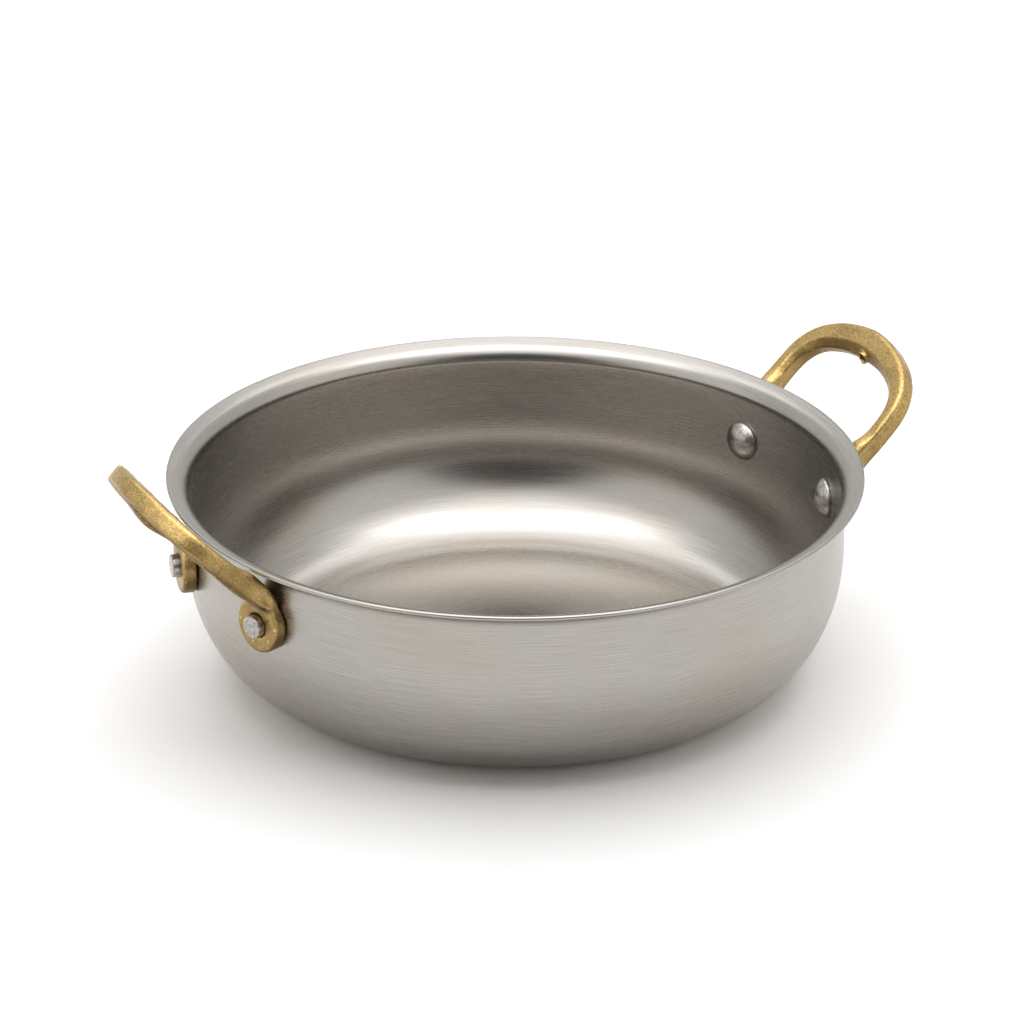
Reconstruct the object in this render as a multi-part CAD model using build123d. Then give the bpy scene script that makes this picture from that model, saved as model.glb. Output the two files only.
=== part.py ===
from build123d import *
from math import asin, cos, degrees, radians, sin, sqrt
import os

# Two-handled round serving dish: a flared steel bowl with two cast brass loop handles,
# each held by two solid rivets. All sizes are millimetres, and angles are degrees.
# The bowl axis is Z, the base rests at Z = 0 and the handles point along +X and -X.

# Bowl: one round of sheet, spun to shape
RIM_RADIUS = 75.0
BOWL_HEIGHT = 44.1
SHEET = 1.0
LIP_OVERHANG = 4.0
WALL_RADIUS = RIM_RADIUS - LIP_OVERHANG
BASE_RADIUS = 51.5
CORNER_RISE = 27.7
LIP_BEND_RADIUS = 3.2
LIP_SLOPE = 18.0
LIP_EDGE_BULGE = 0.2

# Rivets: solid rivets set through wall and ear, dome inside, plain shank end outside
RIVET_HEIGHT = 30.0
RIVET_SPACING = 35.8
SHANK_DIAMETER = 5.0
HEAD_DIAMETER = 8.8
HEAD_DOME = 2.3
HEAD_EDGE = 0.5
TAIL_PROUD = 1.6
TAIL_CHAMFER = 0.25
HOLE_CLEARANCE = 0.05

# Ears: round flat ends of the handle, lying against the wall
EAR_DIAMETER = 12.2
EAR_THICKNESS = 3.0
EAR_EDGE_RADIUS = 0.5
EAR_SEAT_GAP = 0.06

# Loop: the bent bar, lying in one sloping plane above the rim
LOOP_SLOPE = 45.0
LOOP_RIM_CLEARANCE = 4.7
LOOP_HALF_WIDTH = 20.0
LOOP_REACH = 14.85
LOOP_CORNER_RADIUS = 11.0
LOOP_CROWN_RADIUS = 32.0
BAR_DEPTH = 4.5
BAR_EDGE_RADIUS = 1.0
BAR_WIDTH = 4.1
CORNER_WIDTH = 5.1
CROWN_WIDTH = 6.8

# The left handle is set a little askew: turned on its seat, with its back side bowed up
LEFT_HANDLE_TILT = 2.0
LEFT_LOOP_LIFT = 0.5
LEFT_LOOP_BOW = 1.7

# Legs: the thicker bar between the loop and the ears
NECK_DROP = 2.5
NECK_WIDTH = 4.2
NECK_DEPTH = 5.2
NECK_EDGE_RADIUS = 1.5
SHIN_DROP = 6.5
SHIN_HALF_SPREAD = 19.7
SHIN_LIFT = 0.4
SHIN_WIDTH = 4.6
SHIN_DEPTH = 5.6
SHIN_EDGE_RADIUS = 1.8
BEND_WIDTH = 6.0
BEND_DEPTH = 4.4
BEND_EDGE_RADIUS = 1.2
ROOT_RISE = 4.0
ROOT_SHIFT = 0.8
ROOT_WIDTH = 8.0
ROOT_DEPTH = 2.2
ROOT_EDGE_RADIUS = 0.6
ROOT_PULL = 2.0
SHIN_PULL = 5.0


def place_handle(direction, tilt):
    """Frame of one handle: X points outward, the origin is level with its rivets."""
    return Pos(0, 0, RIVET_HEIGHT) * Rot(0, 0, direction) * Rot(tilt, 0, 0)


def rivet_angle():
    """Angle at the bowl axis between the middle of a handle and each of its rivets."""
    return degrees(asin(RIVET_SPACING / 2 / WALL_RADIUS))


def place_rivet(side):
    """Frame of one rivet inside the handle frame: Z runs outward along the shank."""
    return Rot(0, 0, side * rivet_angle()) * Rot(0, 90, 0)


def shank_bore():
    """Round cutter for a rivet hole, from inside the head to the end of the rivet."""
    radius = SHANK_DIAMETER / 2 + HOLE_CLEARANCE
    start = WALL_RADIUS - SHEET - HEAD_EDGE - HEAD_DOME
    end = WALL_RADIUS + EAR_SEAT_GAP + EAR_THICKNESS + TAIL_PROUD
    return Pos(0, 0, (start + end) / 2) * Cylinder(radius, end - start)


def lip_points():
    """Corner points of the flared lip, worked back from the rim radius and height."""
    run = cos(radians(LIP_SLOPE))
    rise = sin(radians(LIP_SLOPE))
    bend_centre = WALL_RADIUS + LIP_BEND_RADIUS
    sheet_middle = LIP_BEND_RADIUS + SHEET / 2
    land = (RIM_RADIUS - bend_centre + sheet_middle * rise) / run - LIP_EDGE_BULGE
    bend_level = BOWL_HEIGHT - (LIP_BEND_RADIUS + SHEET) * run - land * rise
    under = (bend_centre - LIP_BEND_RADIUS * rise, bend_level + LIP_BEND_RADIUS * run)
    over_radius = LIP_BEND_RADIUS + SHEET
    over = (bend_centre - over_radius * rise, bend_level + over_radius * run)
    under_edge = (under[0] + land * run, under[1] + land * rise)
    over_edge = (over[0] + land * run, over[1] + land * rise)
    return bend_centre, bend_level, under, over, under_edge, over_edge


def lip_arc(centre, level, radius, start, end):
    """Quarter bend of the lip between two points of the same circle."""
    half = radians((90 - LIP_SLOPE) / 2)
    middle = (centre - radius * cos(half), level + radius * sin(half))
    return ThreePointArc(start, middle, end)


def bowl_section():
    """Closed outline of the sheet, from the axis out to the rim."""
    centre, level, under, over, under_edge, over_edge = lip_points()
    reach = WALL_RADIUS - BASE_RADIUS
    corner = (BASE_RADIUS, CORNER_RISE)
    inner_wall = WALL_RADIUS - SHEET
    floor_under = Line((0, 0), (BASE_RADIUS, 0))
    corner_out = EllipticalCenterArc(corner, reach, CORNER_RISE, -90, arc_size=90)
    wall_out = Line((WALL_RADIUS, CORNER_RISE), (WALL_RADIUS, level))
    bend_out = lip_arc(centre, level, LIP_BEND_RADIUS, (WALL_RADIUS, level), under)
    land_out = Line(under, under_edge)
    nose_x = (under_edge[0] + over_edge[0]) / 2 + LIP_EDGE_BULGE * cos(radians(LIP_SLOPE))
    nose_z = (under_edge[1] + over_edge[1]) / 2 + LIP_EDGE_BULGE * sin(radians(LIP_SLOPE))
    edge = ThreePointArc(under_edge, (nose_x, nose_z), over_edge)
    land_in = Line(over_edge, over)
    bend_in = lip_arc(centre, level, LIP_BEND_RADIUS + SHEET, over, (inner_wall, level))
    wall_in = Line((inner_wall, level), (inner_wall, CORNER_RISE))
    corner_in = EllipticalCenterArc(corner, reach - SHEET, CORNER_RISE - SHEET, -90, arc_size=90)
    floor_top = Line((BASE_RADIUS, SHEET), (0, SHEET))
    axis_line = Line((0, SHEET), (0, 0))
    outline = [floor_under, corner_out, wall_out, bend_out, land_out, edge]
    outline += [land_in, bend_in, wall_in, corner_in, floor_top, axis_line]
    return make_face(outline)


def bowl_hollow():
    """Solid that fills the bowl from the floor up to the start of the lip."""
    level = lip_points()[1]
    reach = WALL_RADIUS - BASE_RADIUS - SHEET
    inner_wall = WALL_RADIUS - SHEET
    floor_top = Line((0, SHEET), (BASE_RADIUS, SHEET))
    centre = (BASE_RADIUS, CORNER_RISE)
    corner = EllipticalCenterArc(centre, reach, CORNER_RISE - SHEET, -90, arc_size=90)
    wall = Line((inner_wall, CORNER_RISE), (inner_wall, level))
    top = Line((inner_wall, level), (0, level))
    axis_line = Line((0, level), (0, SHEET))
    section = make_face([floor_top, corner, wall, top, axis_line])
    return revolve(Plane.XZ * section, Axis.Z)


def make_bowl():
    """Spun bowl with a rivet hole for each of the four rivets."""
    bowl = revolve(Plane.XZ * bowl_section(), Axis.Z)
    for direction, tilt, lift, bow in HANDLE_PLACES.values():
        for side in RIVET_SIDES:
            bowl -= place_handle(direction, tilt) * place_rivet(side) * shank_bore()
    return bowl


def slope_vectors():
    """Outward direction and upward normal of the loop plane."""
    along = Vector(cos(radians(LOOP_SLOPE)), 0, sin(radians(LOOP_SLOPE)))
    normal = Vector(-sin(radians(LOOP_SLOPE)), 0, cos(radians(LOOP_SLOPE)))
    return along, normal


def loop_point(reach, spread, lift):
    """Point near the loop plane: reach up the slope past the rim, spread sideways."""
    along, normal = slope_vectors()
    start = Vector(RIM_RADIUS + LOOP_RIM_CLEARANCE, 0, BOWL_HEIGHT - RIVET_HEIGHT)
    return start + along * reach + Vector(0, spread, 0) + normal * lift


def bar_slice(point, outward, heading, width, depth, edge_radius):
    """Rounded rectangle across the bar; heading points along the bar."""
    plane = Plane(origin=point, x_dir=outward, z_dir=heading)
    return plane * RectangleRounded(width, depth, edge_radius)


def loop_station(reach, spread, turn, width, depth, edge_radius, lift):
    """Slice of the loop where the bar has turned from the leg by the given angle."""
    along = slope_vectors()[0]
    side = Vector(0, 1, 0)
    outward = side * cos(radians(turn)) + along * sin(radians(turn))
    heading = along * cos(radians(turn)) - side * sin(radians(turn))
    point = loop_point(reach, spread, lift)
    return point, outward, heading, width, depth, edge_radius


def bowed_lift(reach, spread, lift, bow):
    """Height above the loop plane, growing up the slope and away from the +Y leg."""
    progress = (reach + NECK_DROP) / (LOOP_REACH + NECK_DROP)
    return lift + bow * progress * (1 - spread / LOOP_HALF_WIDTH)


def arc_stations(side, lift, bow):
    """Slices round one corner of the loop and along its crown, then the middle one."""
    corner_spread = LOOP_HALF_WIDTH - LOOP_CORNER_RADIUS
    crown_centre = LOOP_REACH - LOOP_CROWN_RADIUS
    centre_gap = LOOP_CROWN_RADIUS - LOOP_CORNER_RADIUS
    corner_reach = crown_centre + sqrt(centre_gap ** 2 - corner_spread ** 2)
    join = 90 - degrees(asin(corner_spread / centre_gap))
    stations = []
    for part in (0, 1, 2, 3):
        turn = join * part / 3
        reach = corner_reach + LOOP_CORNER_RADIUS * sin(radians(turn))
        spread = corner_spread + LOOP_CORNER_RADIUS * cos(radians(turn))
        width = BAR_WIDTH + (CORNER_WIDTH - BAR_WIDTH) * part / 2
        rise = bowed_lift(reach, side * spread, lift, bow)
        station = loop_station(reach, spread, turn, width, BAR_DEPTH, BAR_EDGE_RADIUS, rise)
        stations.append(station)
    half_turn = (join + 90) / 2
    reach = crown_centre + LOOP_CROWN_RADIUS * sin(radians(half_turn))
    spread = LOOP_CROWN_RADIUS * cos(radians(half_turn))
    width = (CORNER_WIDTH + 2 * CROWN_WIDTH) / 3
    rise = bowed_lift(reach, side * spread, lift, bow)
    station = loop_station(reach, spread, half_turn, width, BAR_DEPTH, BAR_EDGE_RADIUS, rise)
    stations.append(station)
    rise = bowed_lift(LOOP_REACH, 0, lift, bow)
    crown = loop_station(LOOP_REACH, 0, 90, CROWN_WIDTH, BAR_DEPTH, BAR_EDGE_RADIUS, rise)
    return stations, crown


def leg_stations(lift):
    """Slices from inside the top of the ear up the leg to the start of the loop."""
    turn = radians(rivet_angle())
    ear_out = Vector(cos(turn), sin(turn), 0)
    ear_side = Vector(-sin(turn), cos(turn), 0)
    along = slope_vectors()[0]
    seat = WALL_RADIUS + EAR_SEAT_GAP
    root = ear_out * (seat + EAR_THICKNESS / 2) + ear_side * ROOT_SHIFT
    root += Vector(0, 0, ROOT_RISE)
    shin = loop_point(-SHIN_DROP, SHIN_HALF_SPREAD, SHIN_LIFT + lift)
    bend = Bezier(root, root + Vector(0, 0, ROOT_PULL), shin - along * SHIN_PULL, shin)
    middle = bend @ 0.5
    heading = bend % 0.5
    outward = (ear_side + Vector(0, 1, 0)).normalized()
    outward = (outward - heading * outward.dot(heading)).normalized()
    up = Vector(0, 0, 1)
    side = Vector(0, 1, 0)
    return [
        (root, ear_side, up, ROOT_WIDTH, ROOT_DEPTH, ROOT_EDGE_RADIUS),
        (middle, outward, heading, BEND_WIDTH, BEND_DEPTH, BEND_EDGE_RADIUS),
        (shin, side, along, SHIN_WIDTH, SHIN_DEPTH, SHIN_EDGE_RADIUS),
        loop_station(-NECK_DROP, LOOP_HALF_WIDTH, 0, NECK_WIDTH, NECK_DEPTH,
                     NECK_EDGE_RADIUS, SHIN_LIFT / 2 + lift),
    ]


def mirrored(station):
    """The same slice on the other leg, with the bar running the other way."""
    point, outward, heading, width, depth, edge_radius = station
    point = Vector(point.X, -point.Y, point.Z)
    outward = Vector(outward.X, -outward.Y, outward.Z)
    heading = Vector(-heading.X, heading.Y, -heading.Z)
    return point, outward, heading, width, depth, edge_radius


def make_bar(lift, bow):
    """One bar from ear to ear: up a leg, round the loop and down the other leg."""
    near_arcs, crown = arc_stations(1, lift, bow)
    far_arcs, crown = arc_stations(-1, lift, bow)
    near_half = leg_stations(lift) + near_arcs
    far_half = leg_stations(lift) + far_arcs
    stations = near_half + [crown] + [mirrored(station) for station in reversed(far_half)]
    slices = [bar_slice(*station) for station in stations]
    return loft(slices)


def make_ear(side):
    """Round flat ear, its back tangent to the wall at the rivet, bored for the shank."""
    seat = WALL_RADIUS + EAR_SEAT_GAP
    disc = Pos(0, 0, seat + EAR_THICKNESS / 2) * Cylinder(EAR_DIAMETER / 2, EAR_THICKNESS)
    front_edge = disc.edges().sort_by(Axis.Z)[-1]
    ear = fillet(front_edge, EAR_EDGE_RADIUS) - shank_bore()
    return place_rivet(side) * ear


def make_handle(direction, tilt, lift, bow):
    """Cast handle: the bar and its two bored ears in one piece."""
    handle = make_bar(lift, bow)
    for side in RIVET_SIDES:
        handle += make_ear(side)
    return (place_handle(direction, tilt) * handle).solid()


def make_rivet():
    """Solid rivet along Z: low dome inside the bowl, straight shank, plain end outside."""
    seat = WALL_RADIUS - SHEET
    end = WALL_RADIUS + EAR_SEAT_GAP + EAR_THICKNESS + TAIL_PROUD
    head_radius = HEAD_DIAMETER / 2
    top = seat - HEAD_EDGE - HEAD_DOME
    dome_radius = (head_radius ** 2 + HEAD_DOME ** 2) / (2 * HEAD_DOME)
    dome = Pos(0, 0, top + dome_radius) * Sphere(dome_radius)
    head = Pos(0, 0, seat - (HEAD_DOME + HEAD_EDGE) / 2) * Cylinder(head_radius, HEAD_DOME + HEAD_EDGE)
    shank = Pos(0, 0, (seat - HEAD_EDGE + end) / 2) * Cylinder(SHANK_DIAMETER / 2, end - seat + HEAD_EDGE)
    tail_edge = shank.edges().sort_by(Axis.Z)[-1]
    shank = chamfer(tail_edge, TAIL_CHAMFER)
    return head & dome, shank


def place_and_seat_rivet(direction, tilt, side):
    """Rivet in its hole, the underside of the head formed to the round wall."""
    head, shank = make_rivet()
    place = place_handle(direction, tilt) * place_rivet(side)
    return (place * head & bowl_hollow()) + place * shank


RIVET_SIDES = (1, -1)
HANDLE_PLACES = {
    "right": (0, 0, 0, 0),
    "left": (180, LEFT_HANDLE_TILT, LEFT_LOOP_LIFT, LEFT_LOOP_BOW),
}
RIVET_NAMES = {
    "rivet_right_back": ("right", 1),
    "rivet_right_front": ("right", -1),
    "rivet_left_front": ("left", 1),
    "rivet_left_back": ("left", -1),
}

os.makedirs("parts", exist_ok=True)
export_step(make_bowl(), "parts/bowl.step")
for name, place in HANDLE_PLACES.items():
    export_step(make_handle(*place), "parts/handle_" + name + ".step")
for name, (handle_name, side) in RIVET_NAMES.items():
    direction, tilt, lift, bow = HANDLE_PLACES[handle_name]
    export_step(place_and_seat_rivet(direction, tilt, side), "parts/" + name + ".step")
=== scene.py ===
import math

import bmesh
import bpy
from mathutils import Matrix, Vector, noise


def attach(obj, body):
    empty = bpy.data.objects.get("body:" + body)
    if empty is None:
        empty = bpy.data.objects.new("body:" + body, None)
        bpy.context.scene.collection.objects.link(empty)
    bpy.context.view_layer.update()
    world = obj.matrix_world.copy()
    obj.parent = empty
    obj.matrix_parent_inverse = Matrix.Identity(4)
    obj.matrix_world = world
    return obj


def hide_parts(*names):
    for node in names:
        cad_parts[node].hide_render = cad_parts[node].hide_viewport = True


bl_info = {
    "name": "Two-handled serving dish",
    "version": (1, 0, 0),
    "blender": (4, 5, 0),
    "location": "View3D > Sidebar > Serving dish",
    "description": "Spun steel serving dish with two riveted cast brass handles",
    "category": "Add Mesh",
}

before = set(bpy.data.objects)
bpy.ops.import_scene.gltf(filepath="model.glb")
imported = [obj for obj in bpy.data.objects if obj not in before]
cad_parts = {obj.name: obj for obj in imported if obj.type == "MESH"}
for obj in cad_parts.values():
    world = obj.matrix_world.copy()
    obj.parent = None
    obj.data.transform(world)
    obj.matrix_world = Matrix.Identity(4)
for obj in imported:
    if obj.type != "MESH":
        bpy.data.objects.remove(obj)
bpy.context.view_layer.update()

MM = 0.001

# Skin of the castings: size of its mesh, and how tight its waves are
SKIN_VOXEL = 0.24 * MM
BROAD_WAVES_PER_METRE = 240.0
SMALL_WAVES_PER_METRE = 700.0
SMALL_WAVE_SHARE = 0.25
WAVE_SINK = 0.6

# Facet of the loops: measured along the slope of a loop, from level with the rim
NECK_DROP = 2.5 * MM
FACET_FADE_START = 5 * MM
FACET_FADE_LENGTH = 4 * MM

# Rivets: rounding of the cut end, and the gap under the head
TAIL_ROUND = 0.3 * MM
HEAD_GAP = 0.12 * MM

# How fine the patterns of the finishes are
SCRATCHES_ROUND_THE_BOWL = 30.0
SCRATCHES_PER_METRE = 6500.0
STAINS_PER_METRE = 38.0
BRASS_GRAINS_PER_METRE = 2600.0
BRASS_PATCHES_PER_METRE = 210.0
BRASS_PITS_PER_METRE = 1100.0
RIVET_SPECKS_PER_METRE = 1500.0

# Stage
PAPER_HALF_WIDTH = 4.0
PAPER_DROP = 0.05 * MM
LAMP_PLACE = (0.1, 0.18, 1.2)
LAMP_WIDTH = 1.6
SENSOR_WIDTH_MM = 36.0

HANDLE_NODES = ("handle_right", "handle_left")
RIVET_NODES = (
    "rivet_right_back",
    "rivet_right_front",
    "rivet_left_front",
    "rivet_left_back",
)


# Small helpers shared by the operators


def linear(hex_code, alpha=1.0):
    """Linear colour from an sRGB hex code such as C8A050."""
    channels = [int(hex_code[i : i + 2], 16) / 255 for i in (0, 2, 4)]
    bright = [c / 12.92 if c <= 0.04045 else ((c + 0.055) / 1.055) ** 2.4 for c in channels]
    return (*bright, alpha)


def add_node(tree, kind, settings=None, **inputs):
    """Add a node, set its properties, then set or link its inputs by name."""
    node = tree.nodes.new(kind)
    for name, value in (settings or {}).items():
        setattr(node, name, value)
    for name, value in inputs.items():
        number = name.lstrip("_")
        socket = node.inputs[int(number)] if number.isdigit() else node.inputs[name.replace("_", " ")]
        if isinstance(value, bpy.types.NodeSocket):
            tree.links.new(value, socket)
        else:
            socket.default_value = value
    return node


def new_material(name):
    """Empty node material with an output; returns the material, tree and output."""
    material = bpy.data.materials.new(name)
    material.use_nodes = True
    tree = material.node_tree
    tree.nodes.clear()
    output = tree.nodes.new("ShaderNodeOutputMaterial")
    return material, tree, output


def calculate(tree, operation, *values):
    """Output of a maths node."""
    inputs = {f"_{number}": value for number, value in enumerate(values)}
    return add_node(tree, "ShaderNodeMath", {"operation": operation}, **inputs).outputs[0]


def ramp(tree, value, start, end, low=0.0, high=1.0):
    """Output that runs from low to high as the value runs from start to end."""
    return add_node(
        tree, "ShaderNodeMapRange", Value=value, From_Min=start, From_Max=end, To_Min=low, To_Max=high
    ).outputs[0]


def mix_colours(tree, factor, low, high):
    """Output that runs from one colour to the other."""
    return add_node(
        tree, "ShaderNodeMix", {"data_type": "RGBA"}, Factor=factor, _6=low, _7=high
    ).outputs[2]


def mix_levels(tree, factor, low, high):
    """Output that runs from one number to the other."""
    return add_node(
        tree, "ShaderNodeMix", {"data_type": "FLOAT"}, _0=factor, _2=low, _3=high
    ).outputs[0]


def dish_settings():
    """The sizes and colours kept with the scene."""
    return bpy.context.scene.serving_dish


def link_object(name, data):
    """New object at the origin, in the scene's collection."""
    made = bpy.data.objects.new(name, data)
    bpy.context.scene.collection.objects.link(made)
    return made


def bake_modifiers(source, name):
    """Plain mesh object from an object with live modifiers, which is then removed."""
    graph = bpy.context.evaluated_depsgraph_get()
    mesh = bpy.data.meshes.new_from_object(source.evaluated_get(graph))
    made = link_object(name, mesh)
    bpy.data.objects.remove(source)
    return made


# Geometry Nodes: a turned piece, the way a bowl is spun or a rivet head is upset


def lathe_tree():
    """Turn a profile drawn in X and Z round the Z axis, with its own UV map."""
    if "Turned piece" in bpy.data.node_groups:
        return bpy.data.node_groups["Turned piece"]
    tree = bpy.data.node_groups.new("Turned piece", "GeometryNodeTree")
    face = tree.interface
    face.new_socket("Profile", in_out="INPUT", socket_type="NodeSocketGeometry")
    steps = face.new_socket("Steps round", in_out="INPUT", socket_type="NodeSocketInt")
    steps.default_value = 96
    points = face.new_socket("Profile points", in_out="INPUT", socket_type="NodeSocketInt")
    points.default_value = 16
    face.new_socket("Finish", in_out="INPUT", socket_type="NodeSocketMaterial")
    face.new_socket("Piece", in_out="OUTPUT", socket_type="NodeSocketGeometry")
    start = tree.nodes.new("NodeGroupInput").outputs
    grid = add_node(
        tree,
        "GeometryNodeMeshGrid",
        Size_X=1.0,
        Size_Y=1.0,
        Vertices_X=calculate(tree, "ADD", start["Steps round"], 1.0),
        Vertices_Y=start["Profile points"],
    )
    place = add_node(tree, "GeometryNodeInputPosition")
    split = add_node(tree, "ShaderNodeSeparateXYZ", _0=place.outputs[0])
    across = calculate(tree, "ADD", split.outputs["X"], 0.5)
    along = calculate(tree, "ADD", split.outputs["Y"], 0.5)
    last = calculate(tree, "SUBTRACT", start["Profile points"], 1.0)
    row = calculate(tree, "ROUND", calculate(tree, "MULTIPLY", along, last))
    drawn = add_node(
        tree,
        "GeometryNodeSampleIndex",
        {"data_type": "FLOAT_VECTOR", "domain": "POINT"},
        Geometry=start["Profile"],
        Value=place.outputs[0],
        Index=row,
    )
    profile = add_node(tree, "ShaderNodeSeparateXYZ", _0=drawn.outputs[0])
    turn = calculate(tree, "MULTIPLY", across, math.tau)
    turned = add_node(
        tree,
        "ShaderNodeCombineXYZ",
        X=calculate(tree, "MULTIPLY", profile.outputs["X"], calculate(tree, "COSINE", turn)),
        Y=calculate(tree, "MULTIPLY", profile.outputs["X"], calculate(tree, "SINE", turn)),
        Z=profile.outputs["Z"],
    )
    travel = add_node(tree, "GeometryNodeInputNamedAttribute", {"data_type": "FLOAT"}, Name="travel")
    travelled = add_node(
        tree,
        "GeometryNodeSampleIndex",
        {"data_type": "FLOAT", "domain": "POINT"},
        Geometry=start["Profile"],
        Value=travel.outputs[0],
        Index=row,
    )
    map_point = add_node(tree, "ShaderNodeCombineXYZ", X=across, Y=travelled.outputs[0])
    mapped = add_node(
        tree,
        "GeometryNodeStoreNamedAttribute",
        {"data_type": "FLOAT2", "domain": "CORNER"},
        Geometry=grid.outputs["Mesh"],
        Name="Turning",
        Value=map_point.outputs[0],
    )
    moved = add_node(
        tree, "GeometryNodeSetPosition", Geometry=mapped.outputs[0], Position=turned.outputs[0]
    )
    closed = add_node(tree, "GeometryNodeMergeByDistance", Geometry=moved.outputs[0], Distance=1e-7)
    real = add_node(tree, "GeometryNodeRealizeInstances", Geometry=closed.outputs[0])
    finished = add_node(
        tree, "GeometryNodeSetMaterial", Geometry=real.outputs[0], Material=start["Finish"]
    )
    end = tree.nodes.new("NodeGroupOutput")
    tree.links.new(finished.outputs[0], end.inputs[0])
    return tree


def turned_piece(name, profile, steps, finish):
    """Plain mesh object turned from (radius, height) points in metres."""
    mesh = bpy.data.meshes.new(name + "_profile")
    edges = [(i, i + 1) for i in range(len(profile) - 1)]
    mesh.from_pydata([(r, 0, z) for r, z in profile], edges, [])
    travel = mesh.attributes.new("travel", "FLOAT", "POINT")
    gone = 0.0
    for i, point in enumerate(profile):
        gone += math.dist(point, profile[max(i - 1, 0)])
        travel.data[i].value = gone
    source = link_object(name + "_profile", mesh)
    tree = lathe_tree()
    modifier = source.modifiers.new("Turned", "NODES")
    modifier.node_group = tree
    values = {"Steps round": steps, "Profile points": len(profile), "Finish": finish}
    for item in tree.interface.items_tree:
        if item.in_out == "INPUT" and item.name in values:
            modifier[item.identifier] = values[item.name]
    made = bake_modifiers(source, name)
    for polygon in made.data.polygons:
        polygon.use_smooth = True
    return made


def arc_points(centre, radius_r, radius_z, start, end, count):
    """Points of an elliptical arc in (radius, height), angles in degrees."""
    points = []
    for i in range(count + 1):
        angle = math.radians(start + (end - start) * i / count)
        points.append((centre[0] + radius_r * math.cos(angle), centre[1] + radius_z * math.sin(angle)))
    return points


def line_points(start, end, count):
    """Evenly spaced points from start to end, both included."""
    return [
        (start[0] + (end[0] - start[0]) * i / count, start[1] + (end[1] - start[1]) * i / count)
        for i in range(count + 1)
    ]


def chain(*runs):
    """Join runs of points and drop the repeated ones."""
    joined = []
    for run in runs:
        for point in run:
            if not joined or math.dist(point, joined[-1]) > 1e-6:
                joined.append(point)
    return joined


# Materials


def spun_steel(dish):
    """Stainless sheet spun on a lathe and brushed satin as it turned."""
    # The brush leaves rings round the bowl, so highlights spread up the wall and
    # across the floor, and fine scratches of uneven length follow the rings.
    material, tree, output = new_material("Brushed stainless steel, spun")
    ring = add_node(tree, "ShaderNodeUVMap", {"uv_map": "Turning"})
    fineness = (SCRATCHES_ROUND_THE_BOWL, SCRATCHES_PER_METRE, 1.0)
    grain = add_node(tree, "ShaderNodeMapping", Vector=ring.outputs[0], Scale=fineness)
    scratches = add_node(
        tree, "ShaderNodeTexNoise", Vector=grain.outputs[0], Scale=1.0, Detail=4.0, Roughness=0.6
    ).outputs[0]
    cloud = add_node(
        tree,
        "ShaderNodeTexNoise",
        Vector=add_node(tree, "ShaderNodeTexCoord").outputs["Object"],
        Scale=STAINS_PER_METRE,
        Detail=3.0,
        Roughness=0.5,
    )
    tone = ramp(tree, scratches, 0.2, 0.8)
    colour = mix_colours(tree, tone, linear(dish.steel_dark), linear(dish.steel_light))
    warm = ramp(tree, cloud.outputs[0], 0.45, 0.75, high=0.35)
    stained = mix_colours(tree, warm, colour, linear(dish.steel_warm))
    smoothest, roughest = dish.steel_roughness - 0.04, dish.steel_roughness + 0.04
    rough = ramp(tree, scratches, 0.25, 0.75, smoothest, roughest)
    bump = add_node(tree, "ShaderNodeBump", Height=scratches, Strength=0.05, Distance=0.02 * MM)
    tangent = add_node(tree, "ShaderNodeTangent", {"direction_type": "UV_MAP", "uv_map": "Turning"})
    shader = add_node(
        tree,
        "ShaderNodeBsdfPrincipled",
        Base_Color=stained,
        Metallic=1.0,
        Roughness=rough,
        Anisotropic=0.75,
        Normal=bump.outputs[0],
        Tangent=tangent.outputs[0],
    )
    tree.links.new(shader.outputs[0], output.inputs[0])
    return material


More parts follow.
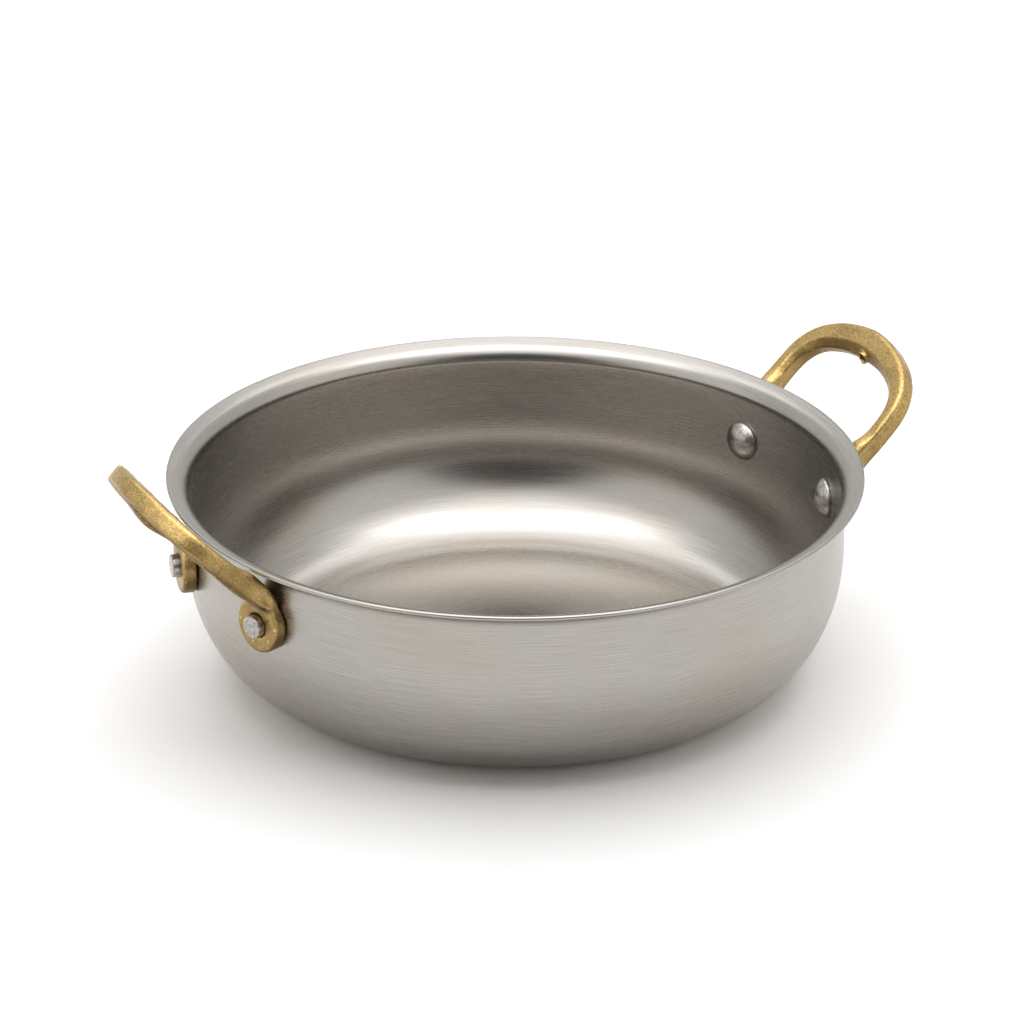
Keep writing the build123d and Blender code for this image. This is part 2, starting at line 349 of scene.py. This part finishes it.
def cast_brass(dish):
    """Sand-cast brass, tumbled and left to age."""
    # The cast skin is finely grained and dull brown-gold, with patches of brown tarnish; edges and crowns
    # that hands and cloths rub are smooth and bright, and small pits dent the skin.
    material, tree, output = new_material("Aged cast brass with painted shade")
    place = add_node(tree, "ShaderNodeTexCoord").outputs["Object"]
    grain = add_node(
        tree,
        "ShaderNodeTexNoise",
        Vector=place,
        Scale=BRASS_GRAINS_PER_METRE,
        Detail=4.0,
        Roughness=0.7,
    )
    patches = add_node(
        tree,
        "ShaderNodeTexNoise",
        Vector=place,
        Scale=BRASS_PATCHES_PER_METRE,
        Detail=4.0,
        Roughness=0.6,
    )
    pits = add_node(
        tree, "ShaderNodeTexVoronoi", {"feature": "F1"}, Vector=place, Scale=BRASS_PITS_PER_METRE
    )
    shape = add_node(tree, "ShaderNodeNewGeometry")
    facing = add_node(tree, "ShaderNodeSeparateXYZ", _0=shape.outputs["Normal"])
    speckle = ramp(tree, grain.outputs[0], 0.35, 0.65)
    skin = mix_colours(tree, speckle, linear(dish.brass_dark), linear(dish.brass_body))
    tarnish = ramp(tree, patches.outputs[0], 0.5, 0.75, high=0.5)
    aged = mix_colours(tree, tarnish, skin, linear(dish.brass_tarnish_and_shade))
    # Painted shade: faces that point down are mixed towards the tarnish brown, so the undersides of the loops
    # show darker. The rubbed edges are kept off these faces.
    under = ramp(tree, facing.outputs["Z"], 0.35, -0.3, high=0.85)
    brown = mix_colours(tree, under, aged, linear(dish.brass_tarnish_and_shade))
    worn = ramp(tree, shape.outputs["Pointiness"], 0.52, 0.62)
    rubbed = calculate(tree, "MULTIPLY", worn, calculate(tree, "SUBTRACT", 1.0, under))
    polished = mix_colours(tree, rubbed, brown, linear(dish.brass_worn))
    rough = ramp(tree, worn, 0.0, 1.0, 0.36, 0.24)
    fine = add_node(
        tree, "ShaderNodeBump", Height=grain.outputs[0], Strength=0.45, Distance=0.06 * MM
    )
    deep = add_node(
        tree,
        "ShaderNodeBump",
        Height=pits.outputs["Distance"],
        Strength=0.25,
        Distance=0.08 * MM,
        Normal=fine.outputs[0],
    )
    shader = add_node(
        tree,
        "ShaderNodeBsdfPrincipled",
        Base_Color=polished,
        Metallic=1.0,
        Roughness=rough,
        Normal=deep.outputs[0],
    )
    tree.links.new(shader.outputs[0], output.inputs[0])
    return material


def rivet_steel(dish):
    """Headed steel wire: a smooth dome inside, a torn and flattened end outside."""
    # The dome is bright from the heading tool; the cut end scatters light in specks.
    material, tree, output = new_material("Steel rivet wire")
    place = add_node(tree, "ShaderNodeTexCoord").outputs["Object"]
    specks = add_node(
        tree,
        "ShaderNodeTexNoise",
        Vector=place,
        Scale=RIVET_SPECKS_PER_METRE,
        Detail=4.0,
        Roughness=0.65,
    )
    tone = ramp(tree, specks.outputs[0], 0.35, 0.65)
    colour = mix_colours(tree, tone, linear(dish.rivet_dark), linear(dish.rivet_light))
    flat = add_node(tree, "ShaderNodeVectorMath", {"operation": "MULTIPLY"}, _0=place, _1=(1.0, 1.0, 0.0))
    reach = add_node(tree, "ShaderNodeVectorMath", {"operation": "LENGTH"}, _0=flat.outputs[0])
    ear_face = dish.wall_radius + dish.ear_thickness
    torn = ramp(tree, reach.outputs["Value"], dish.wall_radius, ear_face, 0.05, 0.3)
    bump = add_node(
        tree, "ShaderNodeBump", Height=specks.outputs[0], Strength=torn, Distance=0.03 * MM
    )
    shader = add_node(
        tree,
        "ShaderNodeBsdfPrincipled",
        Base_Color=colour,
        Metallic=1.0,
        Roughness=0.3,
        Normal=bump.outputs[0],
    )
    tree.links.new(shader.outputs[0], output.inputs[0])
    return material


def paper_sweep(stage):
    """Seamless white paper; the camera and the metal see it as paper white."""
    # The paper lights the dish as plain white paper does, and shows a little brighter
    # to the camera and in reflections, so it reaches white and keeps the dish's shadow.
    material, tree, output = new_material("Seamless white paper")
    path = add_node(tree, "ShaderNodeLightPath")
    mirrored = calculate(tree, "MAXIMUM", path.outputs["Is Camera Ray"], path.outputs["Is Glossy Ray"])
    seen = calculate(tree, "MAXIMUM", mirrored, path.outputs["Is Transmission Ray"])
    lifted = (stage.paper_lift, stage.paper_lift, stage.paper_lift, 1.0)
    colour = mix_colours(tree, seen, (0.8, 0.8, 0.8, 1.0), lifted)
    shader = add_node(tree, "ShaderNodeBsdfDiffuse", Color=colour)
    tree.links.new(shader.outputs[0], output.inputs[0])
    return material


# Settings


class DishSettings(bpy.types.PropertyGroup):
    """Sizes and colours of the dish."""

    rim_radius: bpy.props.FloatProperty(
        name="Rim radius", description="Outer radius of the rim", default=75.0 * MM, unit="LENGTH"
    )
    bowl_height: bpy.props.FloatProperty(
        name="Bowl height", description="Base to top of rim", default=44.1 * MM, unit="LENGTH"
    )
    sheet: bpy.props.FloatProperty(
        name="Sheet", description="Thickness of the steel sheet", default=1.0 * MM, unit="LENGTH"
    )
    wall_radius: bpy.props.FloatProperty(
        name="Wall radius", description="Outer radius of the straight wall", default=71.0 * MM, unit="LENGTH"
    )
    base_radius: bpy.props.FloatProperty(
        name="Base radius", description="Radius of the flat base", default=51.5 * MM, unit="LENGTH"
    )
    corner_rise: bpy.props.FloatProperty(
        name="Corner rise", description="Height of the rounded corner", default=27.7 * MM, unit="LENGTH"
    )
    lip_bend: bpy.props.FloatProperty(
        name="Lip bend", description="Bend radius under the flared lip", default=3.2 * MM, unit="LENGTH"
    )
    lip_slope: bpy.props.FloatProperty(
        name="Lip slope",
        description="Slope of the lip above level",
        default=math.radians(18.0),
        subtype="ANGLE",
    )
    lip_edge_bulge: bpy.props.FloatProperty(
        name="Lip edge", description="Rounding of the cut edge", default=0.2 * MM, unit="LENGTH"
    )
    lip_edge_round: bpy.props.FloatProperty(
        name="Lip edge wear", description="Depth of the burnished corners", default=0.25 * MM, unit="LENGTH"
    )
    loop_slope: bpy.props.FloatProperty(
        name="Loop slope",
        description="Slope of the loops above level",
        default=math.radians(45.0),
        subtype="ANGLE",
    )
    loop_clearance: bpy.props.FloatProperty(
        name="Loop clearance", description="Rim to the middle of the bar", default=4.7 * MM, unit="LENGTH"
    )
    loop_half_width: bpy.props.FloatProperty(
        name="Loop half width",
        description="Half the distance between the legs",
        default=20.0 * MM,
        unit="LENGTH",
    )
    loop_reach: bpy.props.FloatProperty(
        name="Loop reach", description="Rim to the top of the loop", default=14.85 * MM, unit="LENGTH"
    )
    loop_corner: bpy.props.FloatProperty(
        name="Loop corner", description="Bend radius of the corners", default=11.0 * MM, unit="LENGTH"
    )
    loop_crown: bpy.props.FloatProperty(
        name="Loop crown", description="Bend radius of the crown", default=32.0 * MM, unit="LENGTH"
    )
    bar_depth: bpy.props.FloatProperty(
        name="Bar depth", description="Depth of the bar", default=4.5 * MM, unit="LENGTH"
    )
    bar_width: bpy.props.FloatProperty(
        name="Bar width", description="Width of the bar at the legs", default=4.1 * MM, unit="LENGTH"
    )
    crown_width: bpy.props.FloatProperty(
        name="Crown width", description="Width of the bar at the crown", default=6.8 * MM, unit="LENGTH"
    )
    facet_share: bpy.props.FloatProperty(
        name="Facet", description="Share of the half width that slopes inward", default=0.65, subtype="FACTOR"
    )
    left_lift: bpy.props.FloatProperty(
        name="Left loop lift", description="Left loop above its plane", default=0.5 * MM, unit="LENGTH"
    )
    left_bow: bpy.props.FloatProperty(
        name="Left loop bow", description="Rise of the back of the left loop", default=1.7 * MM, unit="LENGTH"
    )
    rivet_height: bpy.props.FloatProperty(
        name="Rivet height", description="Rivets above the base", default=30.0 * MM, unit="LENGTH"
    )
    rivet_angle: bpy.props.FloatProperty(
        name="Rivet angle",
        description="Angle from the middle of the handle to each rivet",
        default=math.radians(14.603),
        subtype="ANGLE",
    )
    left_tilt: bpy.props.FloatProperty(
        name="Left handle tilt",
        description="How far the left handle is turned on its seat",
        default=math.radians(2.0),
        subtype="ANGLE",
    )
    shank_diameter: bpy.props.FloatProperty(
        name="Rivet shank", description="Diameter of the rivet wire", default=5.0 * MM, unit="LENGTH"
    )
    head_diameter: bpy.props.FloatProperty(
        name="Rivet head", description="Diameter of the dome inside", default=8.8 * MM, unit="LENGTH"
    )
    head_dome: bpy.props.FloatProperty(
        name="Head dome", description="Height of the dome", default=2.3 * MM, unit="LENGTH"
    )
    head_edge: bpy.props.FloatProperty(
        name="Head edge", description="Straight edge below the dome", default=0.5 * MM, unit="LENGTH"
    )
    ear_thickness: bpy.props.FloatProperty(
        name="Ear thickness", description="Thickness of the handle's ears", default=3.0 * MM, unit="LENGTH"
    )
    tail_proud: bpy.props.FloatProperty(
        name="Rivet end",
        description="How far the rivet stands out of the ear",
        default=1.6 * MM,
        unit="LENGTH",
    )
    cast_softness: bpy.props.IntProperty(
        name="Casting softness", description="Rounds of smoothing on the casting", default=4
    )
    cast_fillet: bpy.props.FloatProperty(
        name="Casting fillet",
        description="Fillet where the bar meets the ear",
        default=1.1 * MM,
        unit="LENGTH",
    )
    cast_unevenness: bpy.props.FloatProperty(
        name="Casting unevenness",
        description="Height of the casting's waves",
        default=0.06 * MM,
        unit="LENGTH",
    )
    steel_light: bpy.props.StringProperty(
        name="Steel, light", description="sRGB hex of the bright rings", default="BEBAB5"
    )
    steel_dark: bpy.props.StringProperty(
        name="Steel, dark", description="sRGB hex of the dull rings", default="98948E"
    )
    steel_warm: bpy.props.StringProperty(
        name="Steel, warm", description="sRGB hex of the faint warm stain", default="AFA08E"
    )
    steel_roughness: bpy.props.FloatProperty(
        name="Steel roughness", description="Satin of the brushed sheet", default=0.26, subtype="FACTOR"
    )
    brass_body: bpy.props.StringProperty(
        name="Brass, body", description="sRGB hex of the cast skin", default="DDBF80"
    )
    brass_dark: bpy.props.StringProperty(
        name="Brass, grain", description="sRGB hex between the grains", default="9A7B48"
    )
    # This colour is real tarnish in patches, and also painted shade on the faces of the handles that point
    # down.
    brass_tarnish_and_shade: bpy.props.StringProperty(
        name="Brass, tarnish", description="sRGB hex of the brown tarnish", default="6B5636"
    )
    brass_worn: bpy.props.StringProperty(
        name="Brass, worn", description="sRGB hex of the rubbed edges", default="EED79C"
    )
    rivet_light: bpy.props.StringProperty(
        name="Rivet, light", description="sRGB hex of the bright specks", default="C4BFBA"
    )
    rivet_dark: bpy.props.StringProperty(
        name="Rivet, dark", description="sRGB hex of the dull specks", default="8E8985"
    )


class StageSettings(bpy.types.PropertyGroup):
    """Camera, lamp, room and paper."""

    azimuth: bpy.props.FloatProperty(
        name="Azimuth",
        description="Turn of the camera round the dish",
        default=math.radians(-28.87),
        subtype="ANGLE",
    )
    elevation: bpy.props.FloatProperty(
        name="Elevation",
        description="Camera above the horizon",
        default=math.radians(24.163),
        subtype="ANGLE",
    )
    roll: bpy.props.FloatProperty(
        name="Roll",
        description="Turn of the camera about its view",
        default=math.radians(0.264),
        subtype="ANGLE",
    )
    distance: bpy.props.FloatProperty(
        name="Distance", description="Camera to the point it looks at", default=1268.6 * MM, unit="LENGTH"
    )
    target: bpy.props.FloatVectorProperty(
        name="Target",
        description="Point that the camera looks at",
        default=(-0.591 * MM, 0.326 * MM, 33.95 * MM),
        subtype="TRANSLATION",
        unit="LENGTH",
    )
    focal_length: bpy.props.FloatProperty(
        name="Focal length", description="Lens in millimetres on a 36 mm sensor", default=206.9
    )
    paper_lift: bpy.props.FloatProperty(
        name="Paper lift", description="How bright the paper shows to the camera", default=1.75
    )
    overhead_power: bpy.props.FloatProperty(
        name="Overhead lamp", description="Power of the large lamp overhead", default=11.0, unit="POWER"
    )
    mirror_light: bpy.props.FloatProperty(
        name="Mirrored walls", description="Strength of the walls the metal mirrors", default=1.1
    )
    room_light: bpy.props.FloatProperty(
        name="Room light", description="Strength of the dim light of the room", default=0.08
    )
    ceiling_light: bpy.props.FloatProperty(
        name="Ceiling light", description="Strength of the bright ceiling the metal mirrors", default=2.5
    )
    screen_light: bpy.props.FloatProperty(
        name="Screen light", description="Strength of the white screens behind the dish", default=1.4
    )


# Operators


class DISH_OT_bowl(bpy.types.Operator):
    """Turn the steel bowl with its flared lip"""

    bl_idname = "dish.bowl"
    bl_label = "Bowl"

    def execute(self, context):
        dish = dish_settings()
        bend = dish.wall_radius + dish.lip_bend
        run, rise = math.cos(dish.lip_slope), math.sin(dish.lip_slope)
        middle = dish.lip_bend + dish.sheet / 2
        land = (dish.rim_radius - bend + middle * rise) / run - dish.lip_edge_bulge
        over = dish.lip_bend + dish.sheet
        level = dish.bowl_height - over * run - land * rise
        slope = 90 + math.degrees(dish.lip_slope)
        corner = (dish.base_radius, dish.corner_rise)
        reach = dish.wall_radius - dish.base_radius
        outer_bend = arc_points((bend, level), dish.lip_bend, dish.lip_bend, 180, slope, 10)
        inner_bend = arc_points((bend, level), over, over, slope, 180, 12)
        under_edge = (outer_bend[-1][0] + land * run, outer_bend[-1][1] + land * rise)
        over_edge = (inner_bend[0][0] + land * run, inner_bend[0][1] + land * rise)
        back = (dish.lip_edge_round * run, dish.lip_edge_round * rise)
        edge_start = (under_edge[0] - back[0], under_edge[1] - back[1])
        edge_end = (over_edge[0] - back[0], over_edge[1] - back[1])
        edge = []
        half = dish.sheet / 2
        for i in range(1, 14):
            turn = math.radians(-90 + 180 * i / 14)
            out = (dish.lip_edge_bulge + dish.lip_edge_round) * math.cos(turn) - dish.lip_edge_round
            up = half * math.sin(turn) + half
            r = under_edge[0] + out * run - up * rise
            z = under_edge[1] + out * rise + up * run
            edge.append((r, z))
        inner_wall = dish.wall_radius - dish.sheet
        profile = chain(
            line_points((0, 0), (dish.base_radius, 0), 16),
            arc_points(corner, reach, dish.corner_rise, -90, 0, 36),
            line_points((dish.wall_radius, dish.corner_rise), (dish.wall_radius, level), 6),
            outer_bend,
            line_points(outer_bend[-1], edge_start, 3),
            edge,
            line_points(edge_end, inner_bend[0], 3),
            inner_bend,
            line_points((inner_wall, level), (inner_wall, dish.corner_rise), 6),
            arc_points(corner, reach - dish.sheet, dish.corner_rise - dish.sheet, 0, -90, 36),
            line_points((dish.base_radius, dish.sheet), (0, dish.sheet), 16),
        )
        if max(r for r, z in edge) > dish.rim_radius + 0.05 * MM:
            raise RuntimeError("the lip goes past the rim radius")
        bowl = turned_piece("bowl_spun", profile, 288, spun_steel(dish))
        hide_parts("bowl")
        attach(bowl, "root")
        return {"FINISHED"}


def even_skin(body, name, rounds):
    """Modifiers that give a body an even skin and smooth it a little."""
    shell = body.modifiers.new(name, "REMESH")
    shell.mode = "VOXEL"
    shell.voxel_size = SKIN_VOXEL
    soft = body.modifiers.new(name + ", smoothed", "SMOOTH")
    soft.factor = 0.5
    soft.iterations = rounds


def handle_frame(dish, node):
    """Placement of a handle: X points outward, the origin is level with its rivets."""
    left = "_left" in node
    direction, tilt = (math.pi, dish.left_tilt) if left else (0.0, 0.0)
    place = Matrix.Translation((0, 0, dish.rivet_height))
    return place @ Matrix.Rotation(direction, 4, "Z") @ Matrix.Rotation(tilt, 4, "X")


def loop_offset(dish, reach, spread):
    """How far a point of the loop plane lies outside the middle line of the bar."""
    side = abs(spread)
    corner_spread = dish.loop_half_width - dish.loop_corner
    crown = dish.loop_reach - dish.loop_crown
    corner = crown + math.sqrt((dish.loop_crown - dish.loop_corner) ** 2 - corner_spread**2)
    if reach < corner:
        return side - dish.loop_half_width, 0.0
    progress = min((reach - corner) / (dish.loop_reach - corner), 1.0)
    if side * (corner - crown) > corner_spread * (reach - crown):
        return math.hypot(reach - corner, side - corner_spread) - dish.loop_corner, progress
    return math.hypot(reach - crown, side) - dish.loop_crown, progress


def cut_inner_facet(dish, node, mesh):
    """Press the inner upper edge of the loop down to the sloping facet of the casting."""
    place = handle_frame(dish, node)
    back = place.inverted()
    slope = Vector((math.cos(dish.loop_slope), 0, math.sin(dish.loop_slope)))
    rise = Vector((-math.sin(dish.loop_slope), 0, math.cos(dish.loop_slope)))
    start = Vector((dish.rim_radius + dish.loop_clearance, 0, dish.bowl_height - dish.rivet_height))
    left = node == "handle_left"
    moved = []
    for vertex in mesh.vertices:
        point = back @ vertex.co
        from_start = point - start
        reach, spread, lift = from_start.dot(slope), from_start.y, from_start.dot(rise)
        fade = min(max((reach + FACET_FADE_START) / FACET_FADE_LENGTH, 0.0), 1.0)
        if left:
            progress = (reach + NECK_DROP) / (dish.loop_reach + NECK_DROP)
            lift -= dish.left_lift + dish.left_bow * progress * (1 - spread / dish.loop_half_width)
        offset, progress = loop_offset(dish, reach, spread)
        half = (dish.bar_width + (dish.crown_width - dish.bar_width) * progress) / 2
        facet = half * dish.facet_share
        top = dish.bar_depth / 2 - min(max(0.0, facet - half - offset), facet)
        if fade and lift > top:
            point -= rise * min(lift - top, facet) * fade
        moved.extend(place @ point)
    mesh.vertices.foreach_set("co", moved)
    mesh.update()


class DISH_OT_handles(bpy.types.Operator):
    """Cast the two brass handles: soften the solid shapes and give them a cast skin"""

    bl_idname = "dish.handles"
    bl_label = "Handles"

    def execute(self, context):
        dish = dish_settings()
        brass = cast_brass(dish)
        for node in HANDLE_NODES:
            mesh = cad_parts[node].data.copy()
            rough = link_object(node + "_rough", mesh)
            work = bmesh.new()
            work.from_mesh(mesh)
            bmesh.ops.remove_doubles(work, verts=work.verts, dist=1e-6)
            work.to_mesh(mesh)
            work.free()
            even_skin(rough, "Even skin", dish.cast_softness)
            rough = bake_modifiers(rough, node + "_skin")
            cut_inner_facet(dish, node, rough.data)
            for step, swell in (("Swollen", dish.cast_fillet), ("Shrunk back", -dish.cast_fillet)):
                offset = rough.modifiers.new(step, "DISPLACE")
                offset.direction = "NORMAL"
                offset.mid_level = 0
                offset.strength = swell
                even_skin(rough, step + ", even skin", dish.cast_softness)
            handle = bake_modifiers(rough, node + "_cast")
            moved = []
            for vertex in handle.data.vertices:
                wave = noise.noise(vertex.co * BROAD_WAVES_PER_METRE)
                wave = wave + SMALL_WAVE_SHARE * noise.noise(vertex.co * SMALL_WAVES_PER_METRE)
                moved.extend(vertex.co + vertex.normal * (wave - WAVE_SINK) * dish.cast_unevenness)
            handle.data.vertices.foreach_set("co", moved)
            handle.data.update()
            handle.data.materials.clear()
            handle.data.materials.append(brass)
            for polygon in handle.data.polygons:
                polygon.use_smooth = True
                polygon.material_index = 0
            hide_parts(node)
            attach(handle, "root")
        return {"FINISHED"}


class DISH_OT_rivets(bpy.types.Operator):
    """Set the four rivets through the wall and the ears"""

    bl_idname = "dish.rivets"
    bl_label = "Rivets"

    def execute(self, context):
        dish = dish_settings()
        steel = rivet_steel(dish)
        head = dish.head_diameter / 2
        shank = dish.shank_diameter / 2
        seat = dish.wall_radius - dish.sheet
        end = dish.wall_radius + dish.ear_thickness + dish.tail_proud
        top = seat - dish.head_edge - dish.head_dome
        ball = (head**2 + dish.head_dome**2) / (2 * dish.head_dome)
        half = math.degrees(math.asin(head / ball))
        dome = arc_points((0, top + ball), ball, ball, -90, -90 + half, 14)
        seat_of_head = seat - HEAD_GAP
        profile = chain(
            dome,
            line_points((head, seat - dish.head_edge), (head, seat_of_head), 2),
            line_points((head, seat_of_head), (shank, seat_of_head), 3),
            line_points((shank, seat), (shank, end - TAIL_ROUND), 4),
            arc_points((shank - TAIL_ROUND, end - TAIL_ROUND), TAIL_ROUND, TAIL_ROUND, 0, 90, 4),
            line_points((shank - TAIL_ROUND, end), (0, end), 5),
        )
        sides = {
            "rivet_right_back": 1,
            "rivet_right_front": -1,
            "rivet_left_front": 1,
            "rivet_left_back": -1,
        }
        for node in RIVET_NODES:
            rivet = turned_piece(node + "_set", profile, 48, steel)
            place = handle_frame(dish, node) @ Matrix.Rotation(sides[node] * dish.rivet_angle, 4, "Z")
            place = place @ Matrix.Rotation(math.radians(90), 4, "Y")
            rivet.data.transform(place)
            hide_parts(node)
            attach(rivet, "root")
        return {"FINISHED"}


class DISH_OT_stage(bpy.types.Operator):
    """Set up the paper, the lamp, the room and the camera"""

    bl_idname = "dish.stage"
    bl_label = "Stage"

    def execute(self, context):
        scene = context.scene
        stage = scene.dish_stage
        scene.view_settings.view_transform = "Standard"

        mesh = bpy.data.meshes.new("paper")
        wide = PAPER_HALF_WIDTH
        corners = [(-wide, -wide, 0), (wide, -wide, 0), (wide, wide, 0), (-wide, wide, 0)]
        mesh.from_pydata(corners, [], [(0, 1, 2, 3)])
        mesh.transform(Matrix.Translation((0, 0, -PAPER_DROP)))
        mesh.materials.append(paper_sweep(stage))
        paper = link_object("paper", mesh)

        data = bpy.data.lights.new("overhead_lamp", "AREA")
        data.shape = "RECTANGLE"
        data.size = data.size_y = LAMP_WIDTH
        data.energy = stage.overhead_power
        lamp = link_object("overhead_lamp", data)
        lamp.location = LAMP_PLACE
        lamp.rotation_euler = (-Vector(LAMP_PLACE)).to_track_quat("-Z", "Y").to_euler()

        world = bpy.data.worlds.new("White room")
        scene.world = world
        world.use_nodes = True
        tree = world.node_tree
        tree.nodes.clear()
        path = add_node(tree, "ShaderNodeLightPath")
        look = add_node(tree, "ShaderNodeTexCoord").outputs["Generated"]
        height = add_node(tree, "ShaderNodeSeparateXYZ", _0=look).outputs["Z"]
        away = (-math.sin(stage.azimuth), math.cos(stage.azimuth), 0.0)
        behind = add_node(tree, "ShaderNodeVectorMath", {"operation": "DOT_PRODUCT"}, _0=look, _1=away)
        behind = behind.outputs["Value"]

        beyond = ramp(tree, behind, -0.15, 0.15)
        walls = mix_levels(
            tree, ramp(tree, behind, -0.2, 0.1), stage.room_light, stage.screen_light
        )
        on_paper = mix_levels(tree, ramp(tree, height, 0.4, 0.55), walls, stage.room_light)
        beside = mix_levels(tree, beyond, stage.mirror_light, stage.mirror_light * 0.7)
        screens = mix_levels(tree, ramp(tree, behind, -0.85, -0.75), stage.room_light, beside)
        ceiling = mix_levels(tree, beyond, stage.ceiling_light, stage.mirror_light * 0.6)
        on_metal = mix_levels(tree, ramp(tree, height, 0.62, 0.85), screens, ceiling)
        room = mix_levels(tree, path.outputs["Is Glossy Ray"], on_paper, on_metal)
        level = mix_levels(tree, path.outputs["Is Camera Ray"], room, 1.0)
        light = add_node(tree, "ShaderNodeBackground", Color=(1, 1, 1, 1), Strength=level)
        output = tree.nodes.new("ShaderNodeOutputWorld")
        tree.links.new(light.outputs[0], output.inputs[0])

        data = bpy.data.cameras.new("camera")
        data.sensor_width = SENSOR_WIDTH_MM
        data.lens = stage.focal_length
        camera = link_object("camera", data)
        turn, level = stage.azimuth, math.cos(stage.elevation)
        back = Vector((math.sin(turn) * level, -math.cos(turn) * level, math.sin(stage.elevation)))
        right = Vector((math.cos(turn), math.sin(turn), 0))
        up = back.cross(right)
        rolled_right = right * math.cos(stage.roll) + up * math.sin(stage.roll)
        rolled_up = up * math.cos(stage.roll) - right * math.sin(stage.roll)
        facing = Matrix((rolled_right, rolled_up, back)).transposed().to_4x4()
        camera.matrix_world = Matrix.Translation(Vector(stage.target) + back * stage.distance) @ facing
        data.clip_start, data.clip_end = 0.05, 20.0
        scene.camera = camera
        return {"FINISHED"}


class DISH_PT_panel(bpy.types.Panel):
    """The dish's pieces, one button each"""

    bl_label = "Serving dish"
    bl_idname = "DISH_PT_panel"
    bl_space_type = "VIEW_3D"
    bl_region_type = "UI"
    bl_category = "Serving dish"

    def draw(self, context):
        column = self.layout.column(align=True)
        for operator in (DISH_OT_bowl, DISH_OT_handles, DISH_OT_rivets, DISH_OT_stage):
            column.operator(operator.bl_idname)
        for group in (context.scene.serving_dish, context.scene.dish_stage):
            for name in group.__annotations__:
                self.layout.prop(group, name)


CLASSES = (
    DishSettings,
    StageSettings,
    DISH_OT_bowl,
    DISH_OT_handles,
    DISH_OT_rivets,
    DISH_OT_stage,
    DISH_PT_panel,
)


def register():
    for item in CLASSES:
        bpy.utils.register_class(item)
    bpy.types.Scene.serving_dish = bpy.props.PointerProperty(type=DishSettings)
    bpy.types.Scene.dish_stage = bpy.props.PointerProperty(type=StageSettings)


def unregister():
    del bpy.types.Scene.dish_stage
    del bpy.types.Scene.serving_dish
    for item in reversed(CLASSES):
        bpy.utils.unregister_class(item)


def main():
    register()
    bpy.ops.dish.bowl()
    bpy.ops.dish.handles()
    bpy.ops.dish.rivets()
    bpy.ops.dish.stage()


if __name__ == "__main__":
    main()
